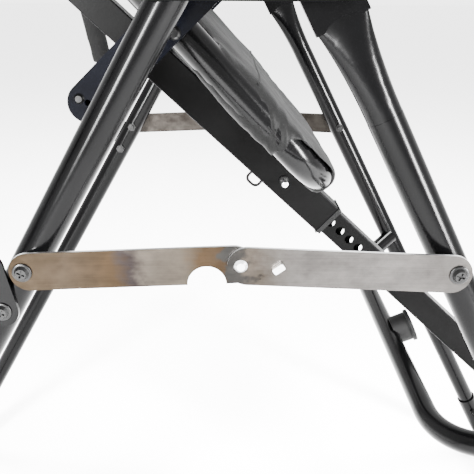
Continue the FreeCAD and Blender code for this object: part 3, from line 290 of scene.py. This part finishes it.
# The paints are far darker and duller than real ones: they are set to look right under the softboxes below.
BLACK = grey(0.0004, (1.0, 1.0, 1.08))
MATERIALS = {
    "frame_paint": painted("gloss_black_paint", BLACK, 0.19, 0.035, 0.04),
    "bracket_paint": painted("bracket_black_paint", BLACK, 0.24, 0.06, 0.03),
    "handle_paint": painted("handle_black_paint", BLACK, 0.19, 0.035, 0.04),
    "rail_paint": painted("rail_black_paint", BLACK, 0.17, 0.06, 0.07),
    "bar_paint": painted("bar_black_paint", BLACK, 0.18, 0.08, 0.05),
    "arm_paint": painted("arm_blue_black_paint", grey(0.0008, (0.85, 0.95, 1.5)), 0.15, 0.05, 0.05),
    "boom_paint": painted("boom_satin_paint", grey(0.0005), 0.34, 0.08, 0.02),
    "tread_plate": painted("tread_black_paint", grey(0.0007), 0.35, 0.1, 0.03),
    "zinc_strap": zinc_strap("zinc_strap"),
    "fastener_steel": bright_steel("bright_fastener", 0.24, 0.75),
    "tether_wire": painted("tether_black_wire", grey(0.002), 0.25, 0.1, 0.05),
    "foot_rubber": moulded("foot_rubber", grey(0.0010), 0.7),
    "bumper_rubber": moulded("bumper_rubber", grey(0.0014), 0.55, 300.0, 0.4),
    "bearing_plastic": moulded("bearing_plastic", grey(0.002), 0.5),
    "cap_plastic": moulded("cap_plastic", grey(0.0014), 0.42),
    "grip_foam": foam("grip_foam", grey(0.0022)),
    "roller_foam": foam("roller_foam", grey(0.0022), 420.0, 0.7),
    "cover_vinyl": vinyl("cover_vinyl", grey(0.0013)),
    "pillow_cloth": vinyl("pillow_cloth", grey(0.0028), 0.5),
}
BOLT_DARK = bright_steel("blackened_bolt", 0.30, 0.014)


def dress_frame():
    """Gives every CAD node the material of its record slot."""
    for entry in frame["record"]["subparts"]:
        node = NODES[entry["node"]]
        node.data.materials.clear()
        node.data.materials.append(MATERIALS[entry["material_slot"]])
        for polygon in node.data.polygons:
            polygon.material_index = 0
    for name in ("arm_bolts", "bracket_bolts"):
        NODES[name].data.materials[0] = BOLT_DARK


# ---------------------------------------------------------------- pieces made here
def new_piece(name, mesh, body, slot_name, material=None):
    """A mesh object that rides on a CAD body and takes its finish from a record slot."""
    obj = bpy.data.objects.new(name, mesh)
    bpy.context.scene.collection.objects.link(obj)
    mesh.materials.clear()
    mesh.materials.append(material or MATERIALS[slot_name])
    for polygon in mesh.polygons:
        polygon.use_smooth = True
        polygon.material_index = 0
    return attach(obj, body)


def bed_point(b, y, m):
    """A point given along the bed from the pivot, across it and out of it."""
    return PIVOT + BED_ALONG * b + ACROSS * y + BED_OUT * m


def mesh_from(shape, name):
    mesh = bpy.data.meshes.new(name)
    shape.to_mesh(mesh)
    shape.free()
    return mesh


def ring_of(shape, middle, one, other, radius, sides):
    """A circle of new vertices round a middle point, in the plane of two directions."""
    ring = []
    for step in range(sides):
        turn = math.tau * step / sides
        ring.append(shape.verts.new(middle + (one * math.cos(turn) + other * math.sin(turn)) * radius))
    return ring


def bridged(shape, here, there):
    """Quads between two rings of vertices."""
    for step in range(len(here)):
        following = (step + 1) % len(here)
        shape.faces.new((here[step], here[following], there[following], there[step]))


def merged_copy(node):
    """The node's mesh with the seams between its faces closed."""
    mesh = NODES[node].data.copy()
    shape = bmesh.new()
    shape.from_mesh(mesh)
    bmesh.ops.remove_doubles(shape, verts=shape.verts, dist=1e-5)
    bmesh.ops.recalc_face_normals(shape, faces=shape.faces)
    shape.to_mesh(mesh)
    shape.free()
    return mesh


def applied(obj):
    """Puts the object's modifiers into its mesh."""
    made = bpy.data.meshes.new_from_object(obj.evaluated_get(bpy.context.evaluated_depsgraph_get()))
    obj.modifiers.clear()
    obj.data = made
    return made


def remeshed(node, voxel, shrink):
    """An object from a CAD solid: even quads of one voxel size, drawn in by shrink."""
    mesh = merged_copy(node)
    obj = bpy.data.objects.new(node + "_soft", mesh)
    bpy.context.scene.collection.objects.link(obj)
    remesh = obj.modifiers.new("remesh", "REMESH")
    remesh.mode = "VOXEL"
    remesh.voxel_size = voxel
    made = applied(obj)
    normals = [vertex.normal.copy() for vertex in made.vertices]
    for vertex, normal in zip(made.vertices, normals):
        vertex.co -= normal * shrink
    return obj


SWELL_FRAMES = 20
SWELL_PRESSURE = 4.0


def swollen(obj, cap):
    """Blows the cloth up from its present shape; no point moves further than cap gives for its place."""
    start = [vertex.co.copy() for vertex in obj.data.vertices]
    cloth = obj.modifiers.new("swell", "CLOTH").settings
    cloth.quality = 4
    cloth.mass = 0.3
    cloth.tension_stiffness = 12.0
    cloth.compression_stiffness = 12.0
    cloth.bending_stiffness = 0.4
    cloth.use_pressure = True
    cloth.uniform_pressure_force = SWELL_PRESSURE
    cloth.effector_weights.gravity = 0.0
    for moment in range(1, SWELL_FRAMES + 1):
        bpy.context.scene.frame_set(moment)
    made = applied(obj)
    for vertex, before in zip(made.vertices, start):
        step = vertex.co - before
        most = cap(before)
        if step.length > most:
            vertex.co = before + step * (most / step.length)
    bpy.context.scene.frame_set(1)


def smoothed(obj, rounds, factor=0.5):
    """Relaxes the mesh; each round draws every point towards its neighbours."""
    shape = bmesh.new()
    shape.from_mesh(obj.data)
    for _ in range(rounds):
        bmesh.ops.smooth_vert(shape, verts=shape.verts, factor=factor,
                              use_axis_x=True, use_axis_y=True, use_axis_z=True)
    shape.to_mesh(obj.data)
    shape.free()


def subdivided(obj):
    obj.modifiers.new("smooth", "SUBSURF").levels = 1
    applied(obj)


def roughened(obj, size, depth, seed):
    """Soft unevenness: each point moves along its normal by noise of the given size."""
    normals = [vertex.normal.copy() for vertex in obj.data.vertices]
    for vertex, normal in zip(obj.data.vertices, normals):
        vertex.co += normal * noise.noise(vertex.co / size + Vector((seed, 0, 0))) * depth


FADED = 0.01  # ripples weaker than this share are left out


def creased(obj, centre_point, reach, direction, length, depth):
    """Gathers: ripples of one wavelength running across direction, fading away from a centre."""
    normals = [vertex.normal.copy() for vertex in obj.data.vertices]
    for vertex, normal in zip(obj.data.vertices, normals):
        away = vertex.co - centre_point
        fade = math.exp(-(away.length / reach) ** 2)
        if fade < FADED:
            continue
        sway = noise.noise(vertex.co / (reach * 0.6)) * 1.6
        vertex.co += normal * math.sin(away.dot(direction) / length * math.tau + sway) * depth * fade


def settle(obj, name, body, slot_name, nodes):
    """Turns a worked-up object into a piece that stands in for the given CAD nodes."""
    mesh = obj.data
    bpy.data.objects.remove(obj)
    piece = new_piece(name, mesh, body, slot_name)
    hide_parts(*nodes)
    return piece


CORD_SIDES = 8


def tube_along(name, points, radius, body, slot_name, closed=False):
    """A thin round cord of mesh along points, such as a seam's piping."""
    shape = bmesh.new()
    rings = []
    count = len(points)
    for index, point in enumerate(points):
        before = points[index - 1] if closed or index else point
        after = points[(index + 1) % count] if closed or index < count - 1 else point
        along = (after - before).normalized()
        one = along.orthogonal().normalized() if not rings else (one - along * one.dot(along)).normalized()
        other = along.cross(one)
        rings.append(ring_of(shape, point, one, other, radius, CORD_SIDES))
    last = count if closed else count - 1
    for index in range(last):
        bridged(shape, rings[index], rings[(index + 1) % count])
    if not closed:
        shape.faces.new(rings[0][::-1])
        shape.faces.new(rings[-1])
    bmesh.ops.recalc_face_normals(shape, faces=shape.faces)
    return new_piece(name, mesh_from(shape, name), body, slot_name)


def tree_of(obj):
    return BVHTree.FromPolygons([vertex.co for vertex in obj.data.vertices],
                                [tuple(polygon.vertices) for polygon in obj.data.polygons])


def on_surface(obj, starts, direction, lift):
    """Where rays from the starts first meet the piece, drawn back by a lift."""
    tree = tree_of(obj)
    found = []
    for start in starts:
        hit = tree.ray_cast(start, direction)[0]
        if hit is not None:
            found.append(hit - direction * lift)
    return found


def spaced(low, high, count):
    """Evenly spaced numbers, both ends included."""
    return [low + (high - low) * index / (count - 1) for index in range(count)]


def stitches(name, line, outward, long_side, gap, radius, body, slot_name):
    """Short thread stitches lying on a seam's line."""
    shape = bmesh.new()
    walked, target = 0.0, 0.0
    for here, there in zip(line, line[1:]):
        step = (there - here).length
        while target <= walked + step and step > 0:
            middle = here.lerp(there, (target - walked) / step) + outward * radius * 0.4
            along = (there - here).normalized()
            turn = along.to_track_quat("Z", "Y").to_matrix().to_4x4()
            place = Matrix.Translation(middle) @ turn @ Matrix.Diagonal((1, 1, long_side / (2 * radius), 1))
            bmesh.ops.create_icosphere(shape, subdivisions=1, radius=radius, matrix=place)
            target += gap
        walked += step
    return new_piece(name, mesh_from(shape, name), body, slot_name)


COVER_SWELL = 0.0045  # how far the cover may swell beyond what its flat foot end may
COVER_FLAT_SWELL = 0.0010
COVER_FLAT_FROM = 0.165  # along the bed from the pivot, like all places below
COVER_FADE = 0.05
PILLOW_SWELL = 0.010


def cover_cap(point):
    """The cover is full along the rails and lies flat where it ends over the foot bow."""
    place = (point - PIVOT).dot(BED_ALONG)
    share = min(1.0, max(0.0, (COVER_FLAT_FROM - place) / COVER_FADE))
    return COVER_FLAT_SWELL + COVER_SWELL * share


def pillow_cap(point):
    return PILLOW_SWELL


COVER_SIDE = 0.215  # from the bed's middle line to where the cover turns round a rail
COVER_CREASES = (  # place along, place out, reach, direction, wavelength, depth
    (0.158, -0.104, 0.042, (BED_ALONG + BED_OUT * 0.9).normalized(), 0.015, 0.0010),
    (0.052, -0.105, 0.034, (BED_ALONG * 0.4 + BED_OUT).normalized(), 0.012, 0.0008),
    (-0.085, -0.108, 0.05, BED_OUT, 0.014, 0.0008),
)
SEAM_OUT = -0.1105  # the side seams' mean place out of the bed
SEAM_SWAY, SEAM_SWAY_RATE = 0.004, 21.0
SEAM_RUNS = (("foot", 0.052, 0.168), ("head", -0.850, -0.078))
SEAM_POINTS = 90
RAY_START = 0.30  # outside the cover, for the rays that find its side
CROSS_SEAMS = (-0.62, -0.36, 0.105)
CROSS_SEAM_HALF = 0.196
CROSS_SEAM_POINTS = 80
SEAM_RADIUS, SEAM_LIFT = 0.0011, 0.0002
STITCH_LONG, STITCH_GAP, STITCH_RADIUS, STITCH_AWAY = 0.0042, 0.0062, 0.0005, 0.0045


def bed_cover():
    """The padded cover round the rails, with its piped seams and stitches."""
    obj = remeshed("bed_cover", 0.006, 0.0035)
    swollen(obj, cover_cap)
    smoothed(obj, 2)
    subdivided(obj)
    roughened(obj, 0.075, 0.0011, 3.0)
    roughened(obj, 0.022, 0.0003, 8.0)
    for side in SIDES.values():
        for b, m, reach, direction, length, depth in COVER_CREASES:
            creased(obj, bed_point(b, side * COVER_SIDE, m), reach, direction, length, depth)
    cover = settle(obj, "padded_bed_cover", "table", "cover_vinyl", ["bed_cover"])
    for side_name, side in SIDES.items():
        for run_name, low, high in SEAM_RUNS:
            starts = [bed_point(b, side * RAY_START, SEAM_OUT + SEAM_SWAY * math.sin(b * SEAM_SWAY_RATE))
                      for b in spaced(low, high, SEAM_POINTS)]
            line = on_surface(cover, starts, ACROSS * -side, SEAM_LIFT)
            tag = "%s_%s" % (run_name, side_name)
            tube_along("cover_seam_" + tag, line, SEAM_RADIUS, "table", "cover_vinyl")
            lower = [point + BED_OUT * STITCH_AWAY for point in line]
            stitches("cover_stitches_" + tag, lower, ACROSS * side, STITCH_LONG, STITCH_GAP, STITCH_RADIUS,
                     "table", "cover_vinyl")
    for place in CROSS_SEAMS:
        starts = [bed_point(place, y, 0.0)
                  for y in spaced(-CROSS_SEAM_HALF, CROSS_SEAM_HALF, CROSS_SEAM_POINTS)]
        line = on_surface(cover, starts, -BED_OUT, SEAM_LIFT)
        tube_along("cover_cross_seam_%d" % round(place * -1000), line, SEAM_RADIUS, "table", "cover_vinyl")


PIPING_RADIUS = 0.0022
PIPING_POINTS = 160
PIPING_RAY_START = 0.4


def pillow():
    """The stuffed head pillow, with piping round its middle."""
    obj = remeshed("head_pillow", 0.005, 0.004)
    swollen(obj, pillow_cap)
    smoothed(obj, 2)
    subdivided(obj)
    roughened(obj, 0.05, 0.0022, 5.0)
    cushion = settle(obj, "stuffed_head_pillow", "table", "pillow_cloth", ["head_pillow"])
    low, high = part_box("head_pillow")
    middle = (low + high) / 2
    tree = tree_of(cushion)
    line = []
    for index in range(PIPING_POINTS):
        turn = math.tau * index / PIPING_POINTS
        outward = (BED_ALONG * math.cos(turn) + ACROSS * math.sin(turn)).normalized()
        hit = tree.ray_cast(middle + outward * PIPING_RAY_START, -outward)[0]
        if hit is not None:
            line.append(hit)
    tube_along("pillow_piping", line, PIPING_RADIUS, "table", "pillow_cloth", closed=True)


FOAM_PARTS = (  # CAD node, body, slot, voxel size, noise seed
    ("handle_grip_left", "rear_frame", "grip_foam", 0.0022, 2.0),
    ("handle_grip_right", "rear_frame", "grip_foam", 0.0022, 3.0),
    ("heel_roller_left", "shaft", "roller_foam", 0.003, 11.0),
    ("heel_roller_right", "shaft", "roller_foam", 0.003, 12.0),
    ("instep_roller_left", "ankle_clamp", "roller_foam", 0.003, 21.0),
    ("instep_roller_right", "ankle_clamp", "roller_foam", 0.003, 22.0),
)


def foam_part(node, body, slot_name, voxel, seed):
    """A foam sleeve or roller with a slightly uneven skin."""
    obj = remeshed(node, voxel, 0.0002)
    smoothed(obj, 1, 0.4)
    roughened(obj, 0.018, 0.0009, seed)
    roughened(obj, 0.005, 0.0003, seed + 4.0)
    settle(obj, "foam_" + node, body, slot_name, [node])


def islands(mesh):
    """The points of each separate solid of a closed mesh."""
    shape = bmesh.new()
    shape.from_mesh(mesh)
    seen, found = set(), []
    for start in shape.verts:
        if start.index in seen:
            continue
        group, waiting = [], [start]
        seen.add(start.index)
        while waiting:
            here = waiting.pop()
            group.append(here.co.copy())
            for edge in here.link_edges:
                there = edge.other_vert(here)
                if there.index not in seen:
                    seen.add(there.index)
                    waiting.append(there)
        found.append(group)
    shape.free()
    return found


BOLT_HEAD_DEPTH = 0.0045  # points nearer the bolt's end than this belong to its head
BOLT_RIM_DEPTH = 0.008  # the head's rim ends within this of the bolt's end
BOLT_RIM = 0.97  # share of the head's radius beyond which a point is on the rim
RECESS_TURN = 0.4
RECESS_LONG, RECESS_WIDE, RECESS_DEPTH = 1.15, 0.26, 0.0036  # shares of the head's radius; whole cutter depth
WASHER_MARGIN = 0.0022


def crossed_bolts(node, body):
    """Bolts with washers and a cross recess in each domed head."""
    mesh = merged_copy(node)
    cutter = bmesh.new()
    washers = []
    for points in islands(mesh):
        low = Vector(min(point[axis] for point in points) for axis in range(3))
        high = Vector(max(point[axis] for point in points) for axis in range(3))
        middle = (low + high) / 2
        side = 1 if middle.y > 0 else -1
        end = high.y if side > 0 else low.y
        head = [point for point in points if abs(point.y - end) < BOLT_HEAD_DEPTH]
        radius = max(math.hypot(point.x - middle.x, point.z - middle.z) for point in head)
        base = max(abs(point.y - end) for point in points
                   if math.hypot(point.x - middle.x, point.z - middle.z) > radius * BOLT_RIM
                   and abs(point.y - end) < BOLT_RIM_DEPTH)
        for turn in (RECESS_TURN, RECESS_TURN + math.pi / 2):
            place = (Matrix.Translation((middle.x, end, middle.z)) @ Matrix.Rotation(turn, 4, "Y")
                     @ Matrix.Diagonal((radius * RECESS_LONG, RECESS_DEPTH, radius * RECESS_WIDE, 1)))
            bmesh.ops.create_cube(cutter, size=1.0, matrix=place)
        washers.append((Vector((middle.x, end - side * base, middle.z)), side, radius + WASHER_MARGIN))
    tool = bpy.data.objects.new(node + "_tool", mesh_from(cutter, node + "_recess"))
    obj = bpy.data.objects.new(node + "_crossed", mesh)
    for made in (tool, obj):
        bpy.context.scene.collection.objects.link(made)
    difference = obj.modifiers.new("recess", "BOOLEAN")
    difference.object = tool
    difference.solver = "EXACT"
    difference.use_self = True
    mesh = applied(obj)
    bpy.data.objects.remove(tool)
    bpy.data.objects.remove(obj)
    piece = new_piece("crossed_" + node, mesh, body, "fastener_steel", BOLT_DARK)
    for polygon in piece.data.polygons:
        polygon.use_smooth = False
    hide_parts(node)
    for index, (base_point, side, radius) in enumerate(washers):
        washer(node + "_washer%d" % index, base_point, side, radius, body)


LATHE_SIDES = 48


def lathe(name, profile, base, along, body, slot_name, material):
    """A turned piece from (distance along, radius) pairs, closed on itself."""
    one = along.orthogonal().normalized()
    other = along.cross(one)
    shape = bmesh.new()
    rings = [ring_of(shape, base + along * reach, one, other, radius, LATHE_SIDES)
             for reach, radius in profile]
    for index, here in enumerate(rings):
        bridged(shape, here, rings[(index + 1) % len(rings)])
    bmesh.ops.recalc_face_normals(shape, faces=shape.faces)
    return new_piece(name, mesh_from(shape, name), body, slot_name, material)


WASHER_BORE = 0.45  # share of the washer's radius
WASHER_THICK = 0.0013


def washer(name, base, side, radius, body):
    """A pressed washer under a bolt's head, with a rolled outer edge."""
    inner = radius * WASHER_BORE
    profile = [(0.0, inner), (0.0, radius - 0.0003), (0.0003, radius), (0.0009, radius),
               (WASHER_THICK, radius - 0.0004), (WASHER_THICK, inner)]
    lathe(name, profile, base, ACROSS * side, body, "fastener_steel", BOLT_DARK)


# ---------------------------------------------------------------- stage, lights and camera
FLOOR_REACH = 80.0  # wide enough that its edge is out of sight
FLOOR_GREY = 0.93
SKY_STRENGTH = 4.0
SOFTBOXES = (  # name, place, target, width, height, power in watts
    ("left", (-1.6, -2.9, 1.5), (-0.1, -0.3, 0.9), 0.34, 1.4, 1700),
    ("right", (2.5, -2.0, 1.25), (0.15, -0.3, 0.8), 0.3, 1.4, 1800),
    ("top", (0.2, 0.8, 3.4), (0, 0, 0.6), 1.4, 0.5, 700),
)


def studio():
    """A pale floor under an even white sky."""
    floor = bpy.data.meshes.new("floor")
    corners = ((-1, -1), (1, -1), (1, 1), (-1, 1))
    floor.from_pydata([(FLOOR_REACH * x, FLOOR_REACH * y, 0) for x, y in corners], [], [(0, 1, 2, 3)])
    plane = bpy.data.objects.new("floor", floor)
    bpy.context.scene.collection.objects.link(plane)
    material, tree, shader = surface("pale_floor", specular=0.2)
    shader.inputs["Base Color"].default_value = grey(FLOOR_GREY)
    shader.inputs["Roughness"].default_value = 0.9
    floor.materials.append(material)
    world = bpy.data.worlds.new("studio")
    bpy.context.scene.world = world
    world.use_nodes = True
    background = world.node_tree.nodes["Background"]
    background.inputs["Color"].default_value = grey(1.0)
    background.inputs["Strength"].default_value = SKY_STRENGTH


def softbox(name, place, target, width, height, power):
    """A rectangular light aimed from its place at a target."""
    light = bpy.data.lights.new(name, "AREA")
    light.shape = "RECTANGLE"
    light.size = width
    light.size_y = height
    light.energy = power
    obj = bpy.data.objects.new(name, light)
    bpy.context.scene.collection.objects.link(obj)
    obj.location = place
    obj.rotation_euler = (Vector(target) - Vector(place)).to_track_quat("-Z", "Y").to_euler()


SENSOR_WIDTH, LENS = 36.0, 47.1  # millimetres
CAMERA_BESIDE = -0.021  # from the tilt axis, along X
CAMERA_Y, CAMERA_Z = -0.854, 0.985
CAMERA_DOWN, CAMERA_TURN, CAMERA_ROLL = 21.27, -0.6, 0.35  # degrees


def camera():
    """The camera that matches the photo's viewpoint."""
    data = bpy.data.cameras.new("camera")
    data.sensor_width = SENSOR_WIDTH
    data.lens = LENS
    obj = bpy.data.objects.new("camera", data)
    bpy.context.scene.collection.objects.link(obj)
    obj.location = (PIVOT.x + CAMERA_BESIDE, CAMERA_Y, CAMERA_Z)
    turn = Matrix.Rotation(math.radians(CAMERA_TURN), 4, "Z")
    tilt = Matrix.Rotation(math.radians(90 - CAMERA_DOWN), 4, "X")
    roll = Matrix.Rotation(math.radians(CAMERA_ROLL), 4, "Z")
    obj.rotation_euler = (turn @ tilt @ roll).to_euler()
    bpy.context.scene.camera = obj


studio()
for lamp in SOFTBOXES:
    softbox(*lamp)
camera()
dress_frame()
bed_cover()
pillow()
for sleeve in FOAM_PARTS:
    foam_part(*sleeve)
crossed_bolts("rear_leg_bolts", "rear_frame")
crossed_bolts("front_leg_bolts", "front_frame")
